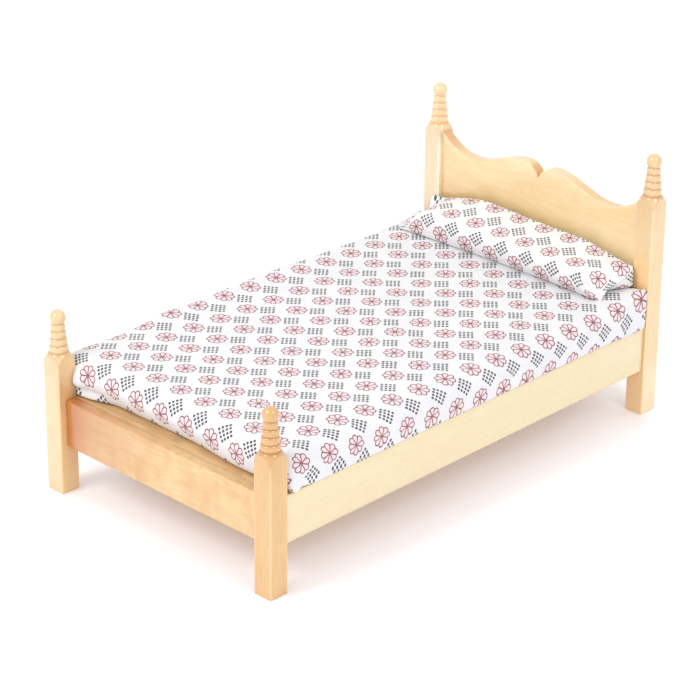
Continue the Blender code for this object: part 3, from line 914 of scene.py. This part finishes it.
WOODS = {
    # name: grain, light, dark, settings
    "foot_post_left": (
        "Z", linear(221, 201, 158), linear(208, 168, 110),
        {"lines": 0.16, "flecks": 0.15},
    ),
    "foot_post_right": (
        "Z", linear(217, 177, 115), linear(199, 143, 75),
        {"lines": 0.20, "flecks": 0.15},
    ),
    # its pale colour is nearly PALE, for its painted light beside the headboard and its painted
    # highlights
    "head_post_left": (
        "Z", linear(230, 212, 178), linear(217, 181, 126),
        {"lines": 0.16, "flecks": 0.15, "paleness": 0.95},
    ),
    "head_post_right": (
        "Z", linear(229, 202, 155), linear(213, 167, 105),
        {"lines": 0.20, "flecks": 0.15},
    ),
    # the headboard's fade deepens it low on the left and, as painted light, pales it low on the
    # right
    "headboard": (
        "X", linear(240, 218, 168), linear(226, 180, 113),
        {"lines": 0.22, "cloud": 0.8, "fade": (68.0, 50.0, 0.22, -0.45)},
    ),
    "side_rail_left": (
        "Y", linear(226, 210, 169), linear(212, 181, 124),
        {"lines": 0.12, "flecks": 0.08},
    ),
    "side_rail_right": (
        "Y", linear(226, 210, 169), linear(212, 181, 124),
        {"lines": 0.12, "flecks": 0.08},
    ),
    "foot_rail": (
        "X", linear(225, 195, 135), linear(203, 147, 82),
        {"lines": 0.35, "curl": 0.6, "cloud": 0.8},
    ),
}
woods = {
    name: wood_material(f"lacquered_wood_{name}", grain, light, dark, seed, **settings)
    for seed, (name, (grain, light, dark, settings)) in enumerate(WOODS.items(), 1)
}
board_wood = wood_material(
    "thin_board", "X", linear(234, 200, 150), linear(196, 152, 102), 11,
    lines=0.6, line_width=2.0, gloss=0.0, roughness=0.6,
)
plain_wood = wood_material(
    "plain_wood", "Y", linear(226, 196, 148), linear(196, 154, 104), 12,
    gloss=0.0, roughness=0.62,
)

# height at which the turning starts on each kind of post
FINIAL_BASES = {"foot": 47.7, "head": 77.5}


def on_face(reach):
    """1 on the face of a post that lies that way from its middle."""
    return smooth_step(reach, 2.6, 3.3)


def beside_mattress_painted_shade(x, y, z):
    """Painted shade: the face of the left foot post that is turned to the mattress is deeper
    orange low down.
    """
    return on_face(x) * (0.30 * smooth_step(z, 46, 36) + 0.30 * bell(z, 33, 7))


# painted bounce light on the face turned to the mattress, low down; the other faces are warmer at
# the turning
def painted_bounce_and_warm_turning(x, y, z):
    low_down = 0.35 - 0.1 * smooth_step(z, 46, 38) + 0.3 * smooth_step(z, 31, 25)
    turned = 0.2 * smooth_step(z, 46, 48)
    return on_face(x) * low_down + (1 - on_face(x)) * turned


def beside_headboard_painted_light(x, y, z):
    """Painted light: the face of the left head post that is turned to the headboard is pale,
    lifting the shade there.
    """
    return -on_face(x) * smooth_step(z, 74, 70)


def turned_warmth(x, y, z):
    return 0.4 * smooth_step(z, 74, 77)


# painted light: the face of the right head post turned to the mattress is warmer lower down
def behind_mattress_painted_light(x, y, z):
    return on_face(-y) * 0.6 * smooth_step(z, 60, 50)


def pale_below_painted_light(x, y, z):
    """Painted light: the right head post is paler near the ground."""
    return -(0.55 * on_face(x) + 0.5 * on_face(-y)) * smooth_step(z, 24, 10)


POST_TONES = {
    "foot_post_left": beside_mattress_painted_shade,
    "head_post_left": beside_headboard_painted_light,
    "head_post_right": pale_below_painted_light,
}
POST_WARMTH = {
    "foot_post_left": painted_bounce_and_warm_turning,
    "head_post_left": turned_warmth,
    "head_post_right": behind_mattress_painted_light,
}
for number, node in enumerate(POST_NAMES, 1):
    base = FINIAL_BASES[node[:4]]
    post = build_post(node, base, number * 1.7, POST_TONES.get(node), POST_WARMTH.get(node))
    place(post, "bedstead", woods[node], "lacquered_wood", node)

# how far a rail's ends reach into the posts' faces
JOIN = 0.02


def between_posts(node, axis):
    """A rail's corners, with its ends taken up to the posts."""
    low, high = box_mm(node)
    reach = box_mm("head_post_right")[0][axis] + JOIN
    low[axis], high[axis] = -reach, reach
    return low, high


for number, node in enumerate(("side_rail_left", "side_rail_right"), 21):
    low, high = between_posts(node, 1)
    rail = build_board(f"wood_{node}", low, high, 0.4, 1.6, number)
    place(rail, "bedstead", woods[node], "lacquered_wood", node)


def foot_rail_tone(points):
    """Deeper orange towards the left, and a little paler at the bottom."""
    x, _, z = points.T
    left = 0.5 * smooth_step(x, -30, -43) + 0.64 * smooth_step(x, 8, -42)
    return left - 0.12 * smooth_step(z, 26, 17)


low, high = between_posts("foot_rail", 0)
rail = build_board("wood_foot_rail", low, high, 0.4, 1.4, 23, tone=foot_rail_tone)
place(rail, "bedstead", woods["foot_rail"], "lacquered_wood", "foot_rail")

headboard = build_headboard()
place(headboard, "bedstead", woods["headboard"], "lacquered_wood", "headboard")

# how far the board reaches under the foot rail's rounded back edge
BOARD_REACH = 0.45
low, high = box_mm("base_board")
low[1] = box_mm("foot_rail")[1][1] - BOARD_REACH
board = build_board("base_board_ply", low, high, 0.2, 2.2, 25, wobble=0.05)
place(board, "bedstead", board_wood, "thin_board", "base_board")
for number, side in enumerate(("left", "right"), 26):
    low, high = box_mm(f"ledge_{side}")
    ledge = build_board(f"wood_ledge_{side}", low, high, 0.3, 2.0, number, wobble=0.06)
    place(ledge, "bedstead", plain_wood, "plain_wood", f"ledge_{side}")
for name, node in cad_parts.items():
    if name.startswith("dowel_"):
        node.data.materials.clear()
        node.data.materials.append(plain_wood)

cotton = cotton_material("printed_cotton", GROUND_LIGHT, GROUND_DARK)
pillow_cotton = cotton_material("printed_cotton_pillow", PILLOW_GROUND_LIGHT, PILLOW_GROUND_DARK)
# one flower's place on the flat cloth, and the steps to its neighbours, in millimetres
MATTRESS_PRINT = ((-3.36, -75.17), (11.0, -0.26), (0.66, 11.12))
PILLOW_PRINT = ((-35.39, 59.3), (11.07, -0.16), (-0.18, 10.02))

points, faces, sides, along, low, high = build_mattress()
mattress = mesh_object("mattress_in_cotton", points, faces)
add_cloth_map(mattress, sides, along, low, high, MATTRESS_ROUND, MATTRESS_PRINT)
place(mattress, "mattress", cotton, "printed_cotton", "mattress_cover", "mattress_core")

points, faces, sides, along, low, high = build_pillow()
pillow = mesh_object("pillow_in_cotton", points, faces)
add_cloth_map(pillow, sides, along, low, high, PILLOW_ROUND, PILLOW_PRINT)
place(pillow, "pillow", pillow_cotton, "printed_cotton", "pillow_case", "pillow_filling")

for soft in (mattress, pillow):
    finer = soft.modifiers.new("finer", "SUBSURF")
    finer.levels = 1
    finer.render_levels = 1

# ---------------------------------------------------------------- studio and camera

FLOOR_COLOUR = linear(247, 246, 249)
FLOOR_SHADE = linear(244, 243, 246)
FLOOR_GLOW = 0.17
FLOOR_GLOW_COLOUR = linear(243, 239, 249)
FLOOR_HALF = 3000
FLOOR_HEIGHT = -0.02
WORLD_STRENGTH = 0.99
# each softbox's azimuth, strength and size
SOFTBOXES = {
    "softbox_left": (-12, 0.32, (0.26, 0.34)),
    "softbox_right": (86, 0.17, (0.20, 0.26)),
}
SOFTBOX_ELEVATION = 44
SOFTBOX_DISTANCE = 0.9
BED_MIDDLE = Vector((0, 0, 0.04))

floor_nodes = Nodes("studio_floor")
floor_place = floor_nodes.add("ShaderNodeTexCoord", (), "Object")
floor_cloud = floor_nodes.noise(floor_place, 6.0, 3.0, 0.5)
floor_share = floor_nodes.range(floor_cloud, 0.3, 0.7, 0.0, 1.0)
floor_material = floor_nodes.finish(
    Base_Color=floor_nodes.mix(floor_share, FLOOR_COLOUR, FLOOR_SHADE),
    Roughness=0.7,
    Emission_Color=FLOOR_GLOW_COLOUR,
    Emission_Strength=FLOOR_GLOW,
)
floor_points = [
    (x * FLOOR_HALF, y * FLOOR_HALF, FLOOR_HEIGHT)
    for x, y in ((-1, -1), (1, -1), (1, 1), (-1, 1))
]
floor = mesh_object("studio_floor", floor_points, [[0, 1, 2, 3]], smooth=False)
floor.data.materials.append(floor_material)

world = bpy.data.worlds.new("studio")
bpy.context.scene.world = world
world.use_nodes = True
background = world.node_tree.nodes["Background"]
background.inputs["Color"].default_value = (1, 1, 1, 1)
background.inputs["Strength"].default_value = WORLD_STRENGTH


def direction(azimuth, elevation):
    """The way to a place round the bed. Azimuth 0 is at the foot, 90 at the right."""
    a, e = math.radians(azimuth), math.radians(elevation)
    return Vector((math.sin(a) * math.cos(e), -math.cos(a) * math.cos(e), math.sin(e)))


for name, (azimuth, strength, size) in SOFTBOXES.items():
    light = bpy.data.lights.new(name, "AREA")
    light.shape = "RECTANGLE"
    light.size, light.size_y = size
    # power so that the light alone would give a surface facing it that share of white
    light.energy = strength * (math.pi * SOFTBOX_DISTANCE) ** 2
    softbox = bpy.data.objects.new(name, light)
    away = direction(azimuth, SOFTBOX_ELEVATION)
    softbox.location = BED_MIDDLE + away * SOFTBOX_DISTANCE
    softbox.rotation_mode = "QUATERNION"
    softbox.rotation_quaternion = away.to_track_quat("Z", "Y")
    bpy.context.scene.collection.objects.link(softbox)

CAMERA_AZIMUTH = 43.879
CAMERA_ELEVATION = 25.415
CAMERA_ROLL = 0.601
CAMERA_TARGET = Vector((-53.46, 50.27, 0.0)) * MM
CAMERA_DISTANCE = 980.03 * MM
CAMERA_LENS = 144.31

camera_data = bpy.data.cameras.new("camera")
camera_data.sensor_width = 36.0
camera_data.lens = CAMERA_LENS
camera_data.clip_start = 0.05
camera_data.clip_end = 20.0
camera = bpy.data.objects.new("camera", camera_data)
bpy.context.scene.collection.objects.link(camera)
back = direction(CAMERA_AZIMUTH, CAMERA_ELEVATION)
azimuth, roll = math.radians(CAMERA_AZIMUTH), math.radians(CAMERA_ROLL)
right = Vector((math.cos(azimuth), math.sin(azimuth), 0))
up = back.cross(right)
rolled_right = math.cos(roll) * right + math.sin(roll) * up
rolled_up = -math.sin(roll) * right + math.cos(roll) * up
turn = Matrix((rolled_right, rolled_up, back)).transposed().to_4x4()
camera.matrix_world = Matrix.Translation(CAMERA_TARGET + back * CAMERA_DISTANCE) @ turn
bpy.context.scene.camera = camera
bpy.context.scene.view_settings.view_transform = "Standard"

bpy.context.view_layer.update()
